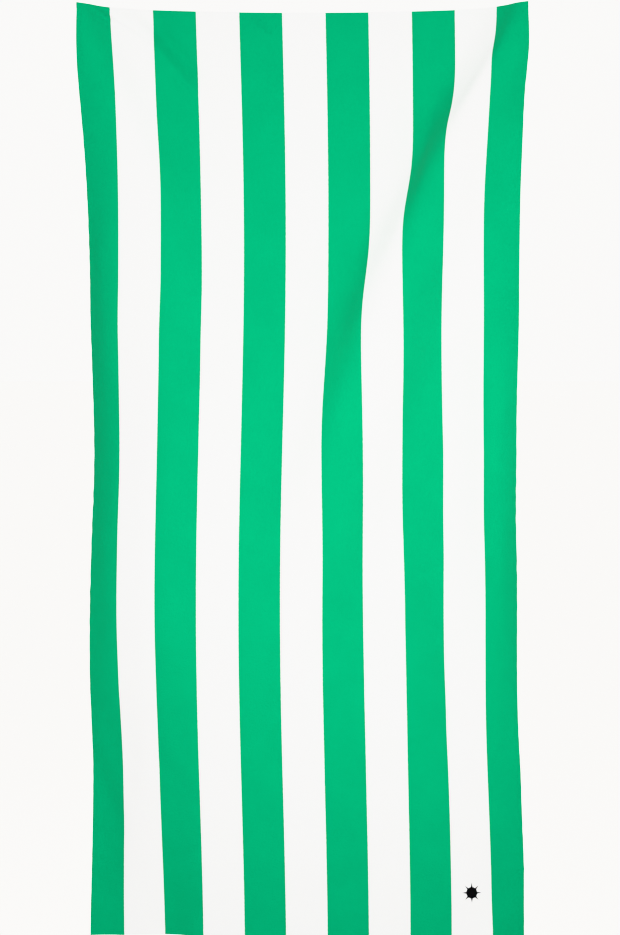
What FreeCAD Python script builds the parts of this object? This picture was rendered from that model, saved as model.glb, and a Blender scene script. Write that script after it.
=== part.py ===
import FreeCAD, Part
import math
import os
from collections import namedtuple

import Sketcher

# A quick dry towel, hung by its two top corners, in millimetres.
#
# The row's frame: the origin is midway between the two top corners, +Z is up, +X runs along the top edge
# to the right, and the printed front faces -Y. Places on the cloth are given on the flat towel, as "across"
# from its left edge and "down" from its top edge. HangingCloth says where each flat place goes when hung.

SIZES = {
    "cut_width": 800.0,  # the cloth before it is hemmed: eleven equal stripes
    "cut_length": 1620.0,
    "stripe_count": 11.0,
    "hem_width": 10.0,
    "cloth_thickness": 0.8,
    "hem_thickness": 1.2,  # the edge is turned twice and pressed flat
    "stitch_inset": 8.0,  # from the towel's edge to the row of stitches
    "thread_width": 0.5,
    "thread_height": 0.25,
    "top_sag": 11.0,  # how far the middle of the top edge hangs below its corners
    "emblem_radius": 18.0,
    "emblem_disc_radius": 10.0,
    "emblem_rays": 8.0,
    "emblem_ray_width": 5.0,
    "emblem_above_edge": 81.0,
    "print_thickness": 0.12,
    "tape_width": 10.0,
    "tape_thickness": 0.9,
    "loop_drop": 48.0,
    "loop_radius": 5.0,  # of the outside of the tape's bend
    "sewn_height": 6.5,  # of the tape's ends and the label's edge, where they are sewn to the hem
    "sewn_from_edge": 1.5,
    "tack_width": 12.0,
    "tack_height": 2.5,
    "tack_thickness": 0.4,
    "label_width": 30.0,
    "label_drop": 50.0,
    "label_thickness": 0.3,
    "label_corner": 2.0,
    "label_seam_width": 26.0,
    "label_offset": 40.0,  # from the loop's middle to the label's middle
    "hinge_gap": 0.3,  # between a sewn end and the flap that hangs from it
    "hinge_clearance": 0.15,  # from the outermost stitch to the hinge's axis
    "seat_gap": 0.3,  # room for the hem's own thread under the tape and the label
}

# A fold is a band of cloth that turns out of the row's plane, from down = top to down = bottom. "across"
# and "tilt" each hold three values, at its top, middle and bottom. A positive tilt, in degrees, brings the
# cloth nearer to the front on its way to the right.
Fold = namedtuple("Fold", "name top bottom across tilt width")
FOLDS = [
    Fold("from the top right corner", 0, 970, (762, 490, 352), (50, 45, 2), 52),
    Fold("beside that corner", 30, 160, (770, 768, 765), (-4, -16, -3), 42),
    Fold("behind that fold", 150, 1150, (730, 578, 400), (-14, -26, -4), 55),
    Fold("right edge", 480, 1350, (768, 768, 770), (-12, -41, -12), 40),
    Fold("inside the right edge", 450, 1120, (708, 708, 722), (4, 34, 4), 46),
    Fold("lower right", 900, 1500, (585, 637, 690), (-10, -23, -8), 52),
    Fold("bottom right corner", 1450, 1600, (760, 760, 765), (-8, -20, -28), 45),
    Fold("from the top left corner", 0, 450, (16, 124, 212), (-43, -29, -18), 50),
    Fold("left edge", 130, 1470, (26, 12, 20), (14, 45, 3), 51),
    Fold("inside the left edge", 600, 1020, (108, 100, 96), (6, 24, 8), 42),
    Fold("below that fold", 1020, 1600, (95, 86, 38), (6, 29, 8), 42),
    Fold("lower left", 1150, 1600, (170, 176, 174), (6, 17, 24), 38),
]
FADE, EASE = 160.0, 60.0  # how far a fold reaches past its ends, and how gently it stops changing there
SWAY, SWAY_LENGTH, SWAY_START = 5.0, 1300.0, 380.0  # the towel's middle wanders a little from side to side
STILL_ACROSS = 317.0  # the flat stretch that every row is placed by
TOP_PULL, PULL_DEPTH = 0.010, 450.0  # the corners stretch the top rows sideways, and less down to there
CORNER_DROP = 12.0  # how much lower than the middle of the bottom edge its corners hang
STEP = 5.0  # of the sums along a row and down a column
SPANS_ACROSS, SPANS_DOWN = 30, 40  # of the spline surface
DEGREE = 3


def between(values, t):
    """The curve through three values at t = 0, 1/2 and 1."""
    start, middle, end = values
    return start * (1 - t) * (1 - 2 * t) + middle * 4 * t * (1 - t) + end * t * (2 * t - 1)


def smooth(t):
    t = min(max(t, 0.0), 1.0)
    return t * t * (3 - 2 * t)


def tilt(across, down):
    """How far the cloth is turned about the vertical at a flat place, in radians."""
    total = 0.0
    for fold in FOLDS:
        passed = math.hypot(down - fold.top, EASE) - math.hypot(down - fold.bottom, EASE)
        t = (1 + passed / (fold.bottom - fold.top)) / 2
        strength = smooth((down - fold.top + FADE) / FADE) * smooth((fold.bottom + FADE - down) / FADE)
        distance = (across - between(fold.across, t)) / fold.width
        total += between(fold.tilt, t) * strength * math.exp(-distance * distance)
    return math.radians(total)


class HangingCloth:
    """The towel's front face as it hangs. Rows keep their flat length, but for the pull of the corners."""

    def __init__(self, width, length, sag):
        self.width, self.length, self.sag = width, length, sag
        self.columns = round(width / STEP)
        self.rows = round(length / STEP)
        flat_rows = [self.lay_row(row * STEP) for row in range(self.rows + 1)]
        self.grid = self.hang_columns(flat_rows)

    def lay_row(self, down):
        """x and y along one row, the sums of the cosine and the sine of the tilt."""
        xs, ys = [0.0], [0.0]
        step = STEP * (1 + TOP_PULL * smooth(1 - down / PULL_DEPTH))
        for column in range(self.columns):
            turn = tilt((column + 0.5) * STEP, down)
            xs.append(xs[-1] + step * math.cos(turn))
            ys.append(ys[-1] - step * math.sin(turn))
        still = round(STILL_ACROSS / STEP)
        sway = SWAY * math.cos(2 * math.pi * (down - SWAY_START) / SWAY_LENGTH)
        shift = STILL_ACROSS - self.width / 2 + sway - xs[still]
        mean = sum(ys) / len(ys)
        return [(x + shift, y - mean) for x, y in zip(xs, ys)]

    def hang_columns(self, flat_rows):
        """Each column hangs from the sagging top edge and is drawn up where it slants. The knit gives a
        little, so that the bottom edge hangs almost level."""
        grid = []
        for column in range(self.columns + 1):
            part = column / self.columns
            height = -self.sag * 4 * part * (1 - part)
            places = [row[column] for row in flat_rows]
            slants = [(x1 - x0, y1 - y0) for (x0, y0), (x1, y1) in zip(places, places[1:])]
            drops = [math.sqrt(STEP**2 - dx**2 - dy**2) for dx, dy in slants]
            bottom = -self.length - self.sag - CORNER_DROP * (2 * part - 1) ** 2
            give = (height - bottom) / sum(drops)
            points = [FreeCAD.Vector(*places[0], height)]
            for (x, y), drop in zip(places[1:], drops):
                height -= drop * give
                points.append(FreeCAD.Vector(x, y, height))
            grid.append(points)
        origin = (grid[0][0] + grid[-1][0]) / 2
        return [[point - origin for point in points] for points in grid]

    def at(self, across, down):
        """The point of a flat place, between the four grid points around it."""
        column = min(int(across / STEP), self.columns - 1)
        row = min(int(down / STEP), self.rows - 1)
        a, b = across / STEP - column, down / STEP - row
        near, far = self.grid[column], self.grid[column + 1]
        upper = near[row] * (1 - a) + far[row] * a
        lower = near[row + 1] * (1 - a) + far[row + 1] * a
        return upper * (1 - b) + lower * b


def even_knots(length, spans):
    """An even spline's knots, how often each repeats and where its poles lie, all as lengths."""
    knots = [length * i / spans for i in range(spans + 1)]
    repeats = [DEGREE + 1] + [1] * (spans - 1) + [DEGREE + 1]
    every = [knot for knot, repeat in zip(knots, repeats) for _ in range(repeat)]
    poles = [sum(every[i + 1 : i + 1 + DEGREE]) / DEGREE for i in range(len(every) - DEGREE - 1)]
    return knots, repeats, poles


def front_surface(cloth):
    """One smooth surface over the whole towel, whose parameters are "across" and "down" in millimetres."""
    knots_across, repeats_across, places_across = even_knots(cloth.width, SPANS_ACROSS)
    knots_down, repeats_down, places_down = even_knots(cloth.length, SPANS_DOWN)
    poles = [[cloth.at(across, down) for down in places_down] for across in places_across]
    surface = Part.BSplineSurface()
    surface.buildFromPolesMultsKnots(
        poles, repeats_across, repeats_down, knots_across, knots_down, False, False, DEGREE, DEGREE
    )
    return surface


doc = FreeCAD.newDocument("quick_dry_towel")
sheet = doc.addObject("Spreadsheet::Sheet", "Sizes")
for row, (alias, value) in enumerate(SIZES.items(), start=1):
    sheet.set(f"A{row}", alias)
    sheet.set(f"B{row}", str(value))
    sheet.setAlias(f"B{row}", alias)
doc.recompute()


def size(alias):
    return float(sheet.get(alias))


WIDTH = size("cut_width") - 2 * size("hem_width")
LENGTH = size("cut_length") - 2 * size("hem_width")
SURFACE = front_surface(HangingCloth(WIDTH, LENGTH, size("top_sag")))
sub_parts = []


def bind(item, **expressions):
    """Binds each property to a formula of the sheet's cells."""
    for name, formula in expressions.items():
        item.setExpression(name.replace("__", "."), formula)


def keep(item, label):
    item.Label = label
    sub_parts.append(item)
    return item


# Cloth layers: a patch of the front surface, pushed straight back by the layer's thickness


def layer(label, across, down, lift, thickness):
    """A layer over the flat patch, from `lift` to `lift` + `thickness` behind the front, both formulas."""
    patch = doc.addObject("Part::Feature", f"{label}_patch")
    patch.Shape = SURFACE.toShape(*across, *down)
    bind(patch, Placement__Base__y=lift)
    solid = doc.addObject("Part::Extrusion", f"{label}_layer")
    solid.Base = patch
    solid.DirMode = "Custom"
    solid.Dir = (0, 1, 0)
    solid.Solid = True
    bind(solid, LengthFwd=thickness)
    return solid


def towel_panel():
    solid = layer("towel_panel", (0, WIDTH), (0, LENGTH), "0 mm", "Sizes.cloth_thickness * 1 mm")
    keep(solid, "towel_panel")


def hem(side, across, down):
    """The turned edge, behind the panel."""
    solid = layer(side, across, down, "Sizes.cloth_thickness * 1 mm", "Sizes.hem_thickness * 1 mm")
    keep(solid, f"{side}_hem")


def hem_stitching(side, across, down):
    """A row of lockstitch: the needle's thread on the front and the bobbin's on the back of the hem."""
    thread = "Sizes.thread_height * 1 mm"
    front = layer(f"{side}_needle", across, down, f"-{thread}", thread)
    behind = "(Sizes.cloth_thickness + Sizes.hem_thickness) * 1 mm"
    back = layer(f"{side}_bobbin", across, down, behind, thread)
    both = doc.addObject("Part::Compound", f"{side}_threads")
    both.Links = [front, back]
    keep(both, f"{side}_hem_stitching")


def hems():
    """The top and bottom hems run right across. The side hems lie between them."""
    hem_width, inset, half = size("hem_width"), size("stitch_inset"), size("thread_width") / 2
    whole, inner = (0, WIDTH), (hem_width, LENGTH - hem_width)
    hem("top", whole, (0, hem_width))
    hem("bottom", whole, (LENGTH - hem_width, LENGTH))
    hem("left", (0, hem_width), inner)
    hem("right", (WIDTH - hem_width, WIDTH), inner)
    hem_stitching("top", whole, (inset - half, inset + half))
    hem_stitching("bottom", whole, (LENGTH - inset - half, LENGTH - inset + half))
    hem_stitching("left", (inset - half, inset + half), inner)
    hem_stitching("right", (WIDTH - inset - half, WIDTH - inset + half), inner)


# Sketches and frames for the small pieces


def cloth_frame(across, down, lift):
    """A frame on the cloth: x runs along the cloth to the right, z up it, and y away from its back."""
    right, downwards = SURFACE.tangent(across, down)
    x = right.normalize()
    z = -(downwards - x * downwards.dot(x)).normalize()
    place = SURFACE.value(across, down) + FreeCAD.Vector(0, lift, 0)
    return FreeCAD.Placement(place, FreeCAD.Rotation(x, z.cross(x), z, "XYZ"))


def new_body(name, placement):
    body = doc.addObject("PartDesign::Body", name)
    body.Placement = placement
    return body


def new_sketch(body, name, plane):
    sketch = body.newObject("Sketcher::SketchObject", name)
    planes = {feature.Role: feature for feature in body.Origin.OriginFeatures}
    sketch.AttachmentSupport = [(planes[plane], "")]
    sketch.MapMode = "FlatFace"
    return sketch


def new_pad(body, sketch, length):
    pad = body.newObject("PartDesign::Pad", f"{sketch.Name}_pad")
    pad.Profile = sketch
    pad.Midplane = True
    bind(pad, Length=length)
    return pad


def constrain(sketch, name, formula, *arguments):
    """Adds a constraint and binds its value to a formula of the sheet's cells."""
    index = sketch.addConstraint(Sketcher.Constraint(*arguments))
    sketch.renameConstraint(index, name)
    sketch.setExpression(f"Constraints.{name}", formula)


START, END, CENTRE = 1, 2, 3
ACROSS_AXIS, UP_AXIS, ORIGIN = -1, -2, 1  # a sketch's own axes, and the point where they cross


def line(x0, y0, x1, y1):
    return Part.LineSegment(FreeCAD.Vector(x0, y0, 0), FreeCAD.Vector(x1, y1, 0))


def closed_outline(sketch, lines):
    """Adds lines end to end and joins them. Returns their numbers."""
    numbers = [sketch.addGeometry(each, False) for each in lines]
    for first, second in zip(numbers, numbers[1:] + numbers[:1]):
        sketch.addConstraint(Sketcher.Constraint("Coincident", first, END, second, START))
    return numbers


def hanging_rectangle(body, name, width, height):
    """A rectangle that hangs from the sketch's own level axis, in the middle."""
    sketch = new_sketch(body, name, "XZ_Plane")
    upper, right, lower, left = closed_outline(
        sketch, [line(-1, 0, 1, 0), line(1, 0, 1, -1), line(1, -1, -1, -1), line(-1, -1, -1, 0)]
    )
    for side in (upper, lower):
        sketch.addConstraint(Sketcher.Constraint("Horizontal", side))
    for side in (right, left):
        sketch.addConstraint(Sketcher.Constraint("Vertical", side))
    sketch.addConstraint(Sketcher.Constraint("Symmetric", upper, START, upper, END, ACROSS_AXIS, ORIGIN))
    constrain(sketch, "width", width, "DistanceX", upper, START, upper, END, 2.0)
    constrain(sketch, "height", height, "DistanceY", right, END, right, START, 1.0)
    return sketch


# The hanging loop, the label and what sews them to the back of the top hem. The pieces of each share one
# seat, and are placed `behind` the seat and `below` its top.

MIDDLE = WIDTH / 2
LABEL_MIDDLE = MIDDLE + size("label_offset")
SEAT = size("cloth_thickness") + size("hem_thickness") + size("seat_gap")
FLAP_BELOW = size("sewn_height") + size("hinge_gap")


def seat(across, behind, below):
    frame = cloth_frame(across, size("sewn_from_edge"), SEAT)
    return frame.multiply(FreeCAD.Placement(FreeCAD.Vector(0, behind, -below), FreeCAD.Rotation()))


def flat_piece(label, across, behind, below, width, height, thickness):
    """A flat piece along the cloth's back. `behind` is where the middle of its thickness lies."""
    body = new_body(label, seat(across, behind, below))
    pad = new_pad(body, hanging_rectangle(body, f"{label}_outline", width, height), thickness)
    return body, pad


def in_the_middle(alias):
    """How far below the seat's top a piece of this height starts, to be in the sewn stretch's middle."""
    return (size("sewn_height") - size(alias)) / 2


def loop_outline(body):
    """The folded tape from its side: a straight near layer, and a far one that slants back to the ends."""
    tape, radius, drop = size("tape_thickness"), size("loop_radius"), size("loop_drop")
    centre = FreeCAD.Vector(radius, radius - drop, 0)
    past_half_turn = 0.1  # about how far the bend goes on, to meet the slanting layer
    sketch = new_sketch(body, "loop_outline", "YZ_Plane")

    def three_sides(inset, top):
        """Down the near layer, round the bend and back up, `inset` inside the outer face."""
        bend = Part.Circle(centre, FreeCAD.Vector(0, 0, 1), radius - inset)
        near = sketch.addGeometry(line(inset, top, inset, centre.y), False)
        arc = sketch.addGeometry(Part.ArcOfCircle(bend, math.pi, 2 * math.pi + past_half_turn), False)
        far = sketch.addGeometry(line(2 * radius - inset, centre.y, 2 * tape - inset, top), False)
        sketch.addConstraint(Sketcher.Constraint("Vertical", near))
        sketch.addConstraint(Sketcher.Constraint("Tangent", near, END, arc, START))
        sketch.addConstraint(Sketcher.Constraint("Tangent", arc, END, far, START))
        return near, arc, far

    near, arc, far = three_sides(0.0, 0.0)
    throat = sketch.addGeometry(line(2 * tape, 0, 0, 0), False)
    sketch.addConstraint(Sketcher.Constraint("Coincident", near, START, ACROSS_AXIS, ORIGIN))
    sketch.addConstraint(Sketcher.Constraint("Coincident", far, END, throat, START))
    sketch.addConstraint(Sketcher.Constraint("Coincident", throat, END, near, START))
    sketch.addConstraint(Sketcher.Constraint("Horizontal", throat))
    doubled = "2 * Sizes.tape_thickness"
    constrain(sketch, "throat", doubled, "DistanceX", throat, END, throat, START, 2 * tape)
    constrain(sketch, "bend", "Sizes.loop_radius", "Radius", arc, radius)
    straight = "Sizes.loop_drop - Sizes.loop_radius"
    constrain(sketch, "straight", straight, "DistanceY", near, END, near, START, drop - radius)

    inner_near, inner_arc, inner_far = three_sides(tape, -2 * tape)
    sketch.addConstraint(Sketcher.Constraint("Coincident", inner_arc, CENTRE, arc, CENTRE))
    sketch.addConstraint(Sketcher.Constraint("Coincident", inner_far, END, inner_near, START))
    sketch.addConstraint(Sketcher.Constraint("Parallel", inner_far, far))
    inside = "Sizes.loop_radius - Sizes.tape_thickness"
    constrain(sketch, "inner_bend", inside, "Radius", inner_arc, radius - tape)
    return sketch


def hanging_loop():
    body = new_body("hanging_loop", seat(MIDDLE, 0, FLAP_BELOW))
    new_pad(body, loop_outline(body), "Sizes.tape_width")
    keep(body, "hanging_loop")


def loop_sewn_ends():
    body, _ = flat_piece(
        "loop_sewn_ends", MIDDLE, size("tape_thickness"), 0,
        "Sizes.tape_width", "Sizes.sewn_height", "2 * Sizes.tape_thickness",
    )
    keep(body, "loop_sewn_ends")


def loop_bar_tack():
    behind = 2 * size("tape_thickness") + size("tack_thickness") / 2
    body, _ = flat_piece(
        "loop_bar_tack", MIDDLE, behind, in_the_middle("tack_height"),
        "Sizes.tack_width", "Sizes.tack_height", "Sizes.tack_thickness",
    )
    keep(body, "loop_bar_tack")


def care_label():
    """The blank flap, with its two lower corners rounded."""
    body, pad = flat_piece(
        "care_label", LABEL_MIDDLE, size("label_thickness") / 2, FLAP_BELOW,
        "Sizes.label_width", "Sizes.label_drop", "Sizes.label_thickness",
    )
    doc.recompute()
    middle = -size("label_drop") / 2
    thick = [
        f"Edge{number}"
        for number, edge in enumerate(pad.Shape.Edges, start=1)
        if edge.Length < 2 * size("label_thickness") and edge.CenterOfMass.z < middle
    ]
    corners = body.newObject("PartDesign::Fillet", "care_label_corners")
    corners.Base = (pad, thick)
    bind(corners, Radius="Sizes.label_corner")
    keep(body, "care_label")


def label_sewn_edge():
    body, _ = flat_piece(
        "label_sewn_edge", LABEL_MIDDLE, size("label_thickness") / 2, 0,
        "Sizes.label_width", "Sizes.sewn_height", "Sizes.label_thickness",
    )
    keep(body, "label_sewn_edge")


def label_stitching():
    behind = size("label_thickness") + size("thread_height") / 2
    body, _ = flat_piece(
        "label_stitching", LABEL_MIDDLE, behind, in_the_middle("thread_width"),
        "Sizes.label_seam_width", "Sizes.thread_width", "Sizes.thread_height",
    )
    keep(body, "label_stitching")


# The printed emblem


def sun():
    """A disc with pointed rays, as a long plug through the cloth where the emblem is printed."""
    stripe = size("cut_width") / size("stripe_count")
    across = WIDTH + size("hem_width") - 1.5 * stripe  # the middle of the last stripe but one
    down = LENGTH - size("emblem_above_edge")
    body = new_body("emblem_sun", FreeCAD.Placement(SURFACE.value(across, down), FreeCAD.Rotation()))
    through = "2 * Sizes.emblem_radius"

    disc = new_sketch(body, "emblem_disc", "XZ_Plane")
    circle = Part.Circle(FreeCAD.Vector(), FreeCAD.Vector(0, 0, 1), size("emblem_disc_radius"))
    edge = disc.addGeometry(circle, False)
    disc.addConstraint(Sketcher.Constraint("Coincident", edge, CENTRE, ACROSS_AXIS, ORIGIN))
    constrain(disc, "radius", "Sizes.emblem_disc_radius", "Radius", edge, size("emblem_disc_radius"))
    new_pad(body, disc, through)

    ray = new_sketch(body, "emblem_ray", "XZ_Plane")
    half, tip = size("emblem_ray_width") / 2, size("emblem_radius")
    base = size("emblem_disc_radius") / 2  # well inside the disc
    bottom, right, left = closed_outline(
        ray, [line(-half, base, half, base), line(half, base, 0, tip), line(0, tip, -half, base)]
    )
    ray.addConstraint(Sketcher.Constraint("Symmetric", bottom, START, bottom, END, UP_AXIS))
    ray.addConstraint(Sketcher.Constraint("PointOnObject", right, END, UP_AXIS))
    whole = "Sizes.emblem_ray_width"
    constrain(ray, "base_width", whole, "DistanceX", bottom, START, bottom, END, 2 * half)
    half_disc = "Sizes.emblem_disc_radius / 2"
    constrain(ray, "base", half_disc, "DistanceY", ACROSS_AXIS, ORIGIN, bottom, START, base)
    constrain(ray, "tip", "Sizes.emblem_radius", "DistanceY", ACROSS_AXIS, ORIGIN, right, END, tip)
    one_ray = new_pad(body, ray, through)

    rays = body.newObject("PartDesign::PolarPattern", "emblem_rays")
    rays.Originals = [one_ray]
    rays.Axis = (disc, ["N_Axis"])
    rays.Angle = 360
    bind(rays, Occurrences="Sizes.emblem_rays")
    body.Tip = rays
    return body, across, down


def corner_emblem():
    """The print lies on the cloth's front and follows its curve."""
    plug, across, down = sun()
    reach = size("emblem_radius") + STEP
    ink = layer(
        "emblem", (across - reach, across + reach), (down - reach, down + reach),
        "-Sizes.print_thickness * 1 mm", "Sizes.print_thickness * 1 mm",
    )
    emblem = doc.addObject("Part::Common", "emblem_print")
    emblem.Base = ink
    emblem.Tool = plug
    keep(emblem, "corner_emblem")


def print_hinge(name, across, outermost):
    """Says where a flap turns: along the cloth, just outside the stitches that hold it."""
    frame = seat(across, outermost + size("hinge_clearance"), FLAP_BELOW - size("hinge_gap") / 2)
    axis = frame.Rotation.multVec(FreeCAD.Vector(1, 0, 0))
    place = tuple(round(c, 3) for c in frame.Base)
    print(f"{name}: hinge at {place}, axis {tuple(round(c, 5) for c in axis)}")


def check_and_write():
    doc.recompute()
    for item in doc.Objects:
        if {"Invalid", "Error"} & set(item.State):
            raise RuntimeError(f"{item.Name} failed: {item.State}")
    for item in sub_parts:
        if item.Shape.isNull() or not item.Shape.isValid():
            raise RuntimeError(f"{item.Label} has no valid shape")
    os.makedirs("parts", exist_ok=True)
    for item in sub_parts:
        item.Shape.exportStep(f"parts/{item.Label}.step")
        print(f"{item.Label}: {len(item.Shape.Solids)} solids, {item.Shape.Volume:.1f} mm3")


towel_panel()
hems()
loop_sewn_ends()
loop_bar_tack()
hanging_loop()
label_sewn_edge()
label_stitching()
care_label()
corner_emblem()
check_and_write()
print_hinge("hanging_loop", MIDDLE, 2 * size("tape_thickness") + size("tack_thickness"))
print_hinge("care_label", LABEL_MIDDLE, size("label_thickness") + size("thread_height"))
for name, across in (("left", 0.0), ("right", WIDTH)):
    print(f"top {name} corner:", SURFACE.value(across, 0.0))
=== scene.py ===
import math
from collections import namedtuple

import bmesh
import bpy
import numpy as np
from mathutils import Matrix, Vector


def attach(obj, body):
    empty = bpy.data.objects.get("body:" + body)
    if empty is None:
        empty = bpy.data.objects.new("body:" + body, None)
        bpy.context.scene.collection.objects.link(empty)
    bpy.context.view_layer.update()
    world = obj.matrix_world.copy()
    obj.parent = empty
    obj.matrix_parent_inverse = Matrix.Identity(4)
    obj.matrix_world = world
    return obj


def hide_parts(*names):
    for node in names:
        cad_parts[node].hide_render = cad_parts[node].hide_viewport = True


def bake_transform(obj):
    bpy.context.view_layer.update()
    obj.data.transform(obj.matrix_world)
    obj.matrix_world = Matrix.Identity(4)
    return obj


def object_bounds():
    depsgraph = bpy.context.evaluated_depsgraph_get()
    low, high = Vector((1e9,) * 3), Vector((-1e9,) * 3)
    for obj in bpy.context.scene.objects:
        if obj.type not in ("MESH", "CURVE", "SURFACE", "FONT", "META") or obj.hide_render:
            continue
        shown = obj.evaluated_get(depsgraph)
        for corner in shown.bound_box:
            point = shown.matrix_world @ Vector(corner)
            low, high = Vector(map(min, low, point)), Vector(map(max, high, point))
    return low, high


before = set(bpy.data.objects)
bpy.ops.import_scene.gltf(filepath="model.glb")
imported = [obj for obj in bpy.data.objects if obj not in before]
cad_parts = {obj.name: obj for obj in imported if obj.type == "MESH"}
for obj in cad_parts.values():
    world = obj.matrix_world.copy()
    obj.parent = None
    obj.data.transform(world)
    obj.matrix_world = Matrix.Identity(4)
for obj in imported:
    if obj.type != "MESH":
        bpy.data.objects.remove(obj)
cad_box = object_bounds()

# The quick dry towel, hung by its two top corners, in metres and in the frame's own axes: +Z up, the front
# facing -Y. Places on the cloth are flat ones, "across" from the left edge and "down" from the top edge.
# HangingCloth says where each of them goes, and every piece is laid out on it, so that the hems, the threads
# and the print follow the folds.

CUT_WIDTH, CUT_LENGTH = 0.800, 1.620
HEM_WIDTH = 0.010
WIDTH, LENGTH = CUT_WIDTH - 2 * HEM_WIDTH, CUT_LENGTH - 2 * HEM_WIDTH
STRIPES = 11
STRIPE = CUT_WIDTH / STRIPES
CLOTH_THICKNESS, HEM_THICKNESS = 0.0008, 0.0012
TOP_SAG = 0.011

# A fold is a band of cloth that turns out of the row's plane, from down = top to down = bottom. "across"
# and "tilt" each hold three values, at its top, middle and bottom. A positive tilt, in degrees, brings the
# cloth nearer to the front on its way to the right. The lengths are in millimetres.
Fold = namedtuple("Fold", "name top bottom across tilt width")
FOLDS = [
    Fold("from the top right corner", 0, 970, (762, 490, 352), (50, 45, 2), 52),
    Fold("beside that corner", 30, 160, (770, 768, 765), (-4, -16, -3), 42),
    Fold("behind that fold", 150, 1150, (730, 578, 400), (-14, -26, -4), 55),
    Fold("right edge", 480, 1350, (768, 768, 770), (-12, -41, -12), 40),
    Fold("inside the right edge", 450, 1120, (708, 708, 722), (4, 34, 4), 46),
    Fold("lower right", 900, 1500, (585, 637, 690), (-10, -23, -8), 52),
    Fold("bottom right corner", 1450, 1600, (760, 760, 765), (-8, -20, -28), 45),
    Fold("from the top left corner", 0, 450, (16, 124, 212), (-43, -29, -18), 50),
    Fold("left edge", 130, 1470, (26, 12, 20), (14, 45, 3), 51),
    Fold("inside the left edge", 600, 1020, (108, 100, 96), (6, 24, 8), 42),
    Fold("below that fold", 1020, 1600, (95, 86, 38), (6, 29, 8), 42),
    Fold("lower left", 1150, 1600, (170, 176, 174), (6, 17, 24), 38),
]
FADE, EASE = 160.0, 60.0  # millimetres that a fold reaches past its ends, and that it takes to stop changing
SWAY, SWAY_LENGTH, SWAY_START = 0.005, 1.300, 0.380  # the towel's middle wanders a little from side to side
STILL_ACROSS = 0.317  # the flat stretch that every row is placed by
TOP_PULL, PULL_DEPTH = 0.010, 0.45  # the corners stretch the top rows sideways, and less down to there
CORNER_DROP = 0.012  # how much lower than the middle of the bottom edge its corners hang
STEP = 0.005  # of the sums along a row and down a column
MM = 0.001


def between(values, t):
    """The curve through three values at t = 0, 1/2 and 1."""
    start, middle, end = values
    return start * (1 - t) * (1 - 2 * t) + middle * 4 * t * (1 - t) + end * t * (2 * t - 1)


def smooth(t):
    t = np.clip(t, 0.0, 1.0)
    return t * t * (3 - 2 * t)


def tilt(across, down):
    """How far the cloth is turned about the vertical at flat places, in radians."""
    across, down = across / MM, down / MM
    total = 0.0
    for fold in FOLDS:
        passed = np.hypot(down - fold.top, EASE) - np.hypot(down - fold.bottom, EASE)
        t = (1 + passed / (fold.bottom - fold.top)) / 2
        strength = smooth((down - fold.top + FADE) / FADE) * smooth((fold.bottom + FADE - down) / FADE)
        distance = (across - between(fold.across, t)) / fold.width
        total = total + between(fold.tilt, t) * strength * np.exp(-distance * distance)
    return np.radians(total)


class HangingCloth:
    """The towel's front face as it hangs. Rows keep their flat length, but for the pull of the corners."""

    def __init__(self, width, length, sag):
        self.columns, self.rows = round(width / STEP), round(length / STEP)
        down = np.arange(self.rows + 1) * STEP
        turn = tilt((np.arange(self.columns) + 0.5)[:, None] * STEP, down[None, :])
        start = np.zeros((1, self.rows + 1))
        step = STEP * (1 + TOP_PULL * smooth(1 - down / PULL_DEPTH))
        x = np.concatenate([start, np.cumsum(np.cos(turn) * step, axis=0)])
        y = np.concatenate([start, -np.cumsum(np.sin(turn) * step, axis=0)])
        sway = SWAY * np.cos(2 * math.pi * (down - SWAY_START) / SWAY_LENGTH)
        x += STILL_ACROSS - width / 2 + sway - x[round(STILL_ACROSS / STEP)]
        y -= y.mean(axis=0)
        self.grid = np.stack([x, y, self.heights(x, y, length, sag)], axis=-1)
        midway = (self.grid[0, 0] + self.grid[-1, 0]) / 2  # between the top corners, at the origin
        self.grid -= midway

    def heights(self, x, y, length, sag):
        """Each column hangs from the sagging top edge and is drawn up where it slants. It gives a little in
        the knit, so that the bottom edge hangs almost level."""
        part = np.arange(self.columns + 1) / self.columns
        top = -sag * 4 * part * (1 - part)
        drops = np.sqrt(STEP**2 - np.diff(x, axis=1) ** 2 - np.diff(y, axis=1) ** 2)
        bottom = -length - sag - CORNER_DROP * (2 * part - 1) ** 2
        give = (top - bottom) / drops.sum(axis=1)
        start = np.zeros((self.columns + 1, 1))
        return top[:, None] - np.concatenate([start, np.cumsum(drops, axis=1)], axis=1) * give[:, None]

    def face(self, across, down):
        """Points of the front face, on the smooth surface through the grid."""
        grid = np.pad(self.grid, ((1, 1), (1, 1), (0, 0)), mode="reflect", reflect_type="odd")
        column = np.clip(np.floor(across / STEP).astype(int), 0, self.columns - 1)
        row = np.clip(np.floor(down / STEP).astype(int), 0, self.rows - 1)
        point = 0.0
        for i, along in enumerate(spline_weights(across / STEP - column)):
            for j, below in enumerate(spline_weights(down / STEP - row)):
                point = point + (along * below)[..., None] * grid[column + i, row + j]
        return point

    def place(self, across, down, behind):
        """Points `behind` metres behind the front face, square to it."""
        across, down, behind = np.broadcast_arrays(across, down, behind)
        reach = STEP / 4
        right = self.face(across + reach, down) - self.face(across - reach, down)
        below = self.face(across, down + reach) - self.face(across, down - reach)
        back = np.cross(right, below)
        back /= np.linalg.norm(back, axis=-1, keepdims=True)
        return self.face(across, down) + back * (behind + relief(across, down))[..., None]


def spline_weights(t):
    """The shares of the four grid lines around a place, in a Catmull-Rom spline."""
    return (
        (-t + 2 * t**2 - t**3) / 2,
        (2 - 5 * t**2 + 3 * t**3) / 2,
        (t + 4 * t**2 - 3 * t**3) / 2,
        (-(t**2) + t**3) / 2,
    )


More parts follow.
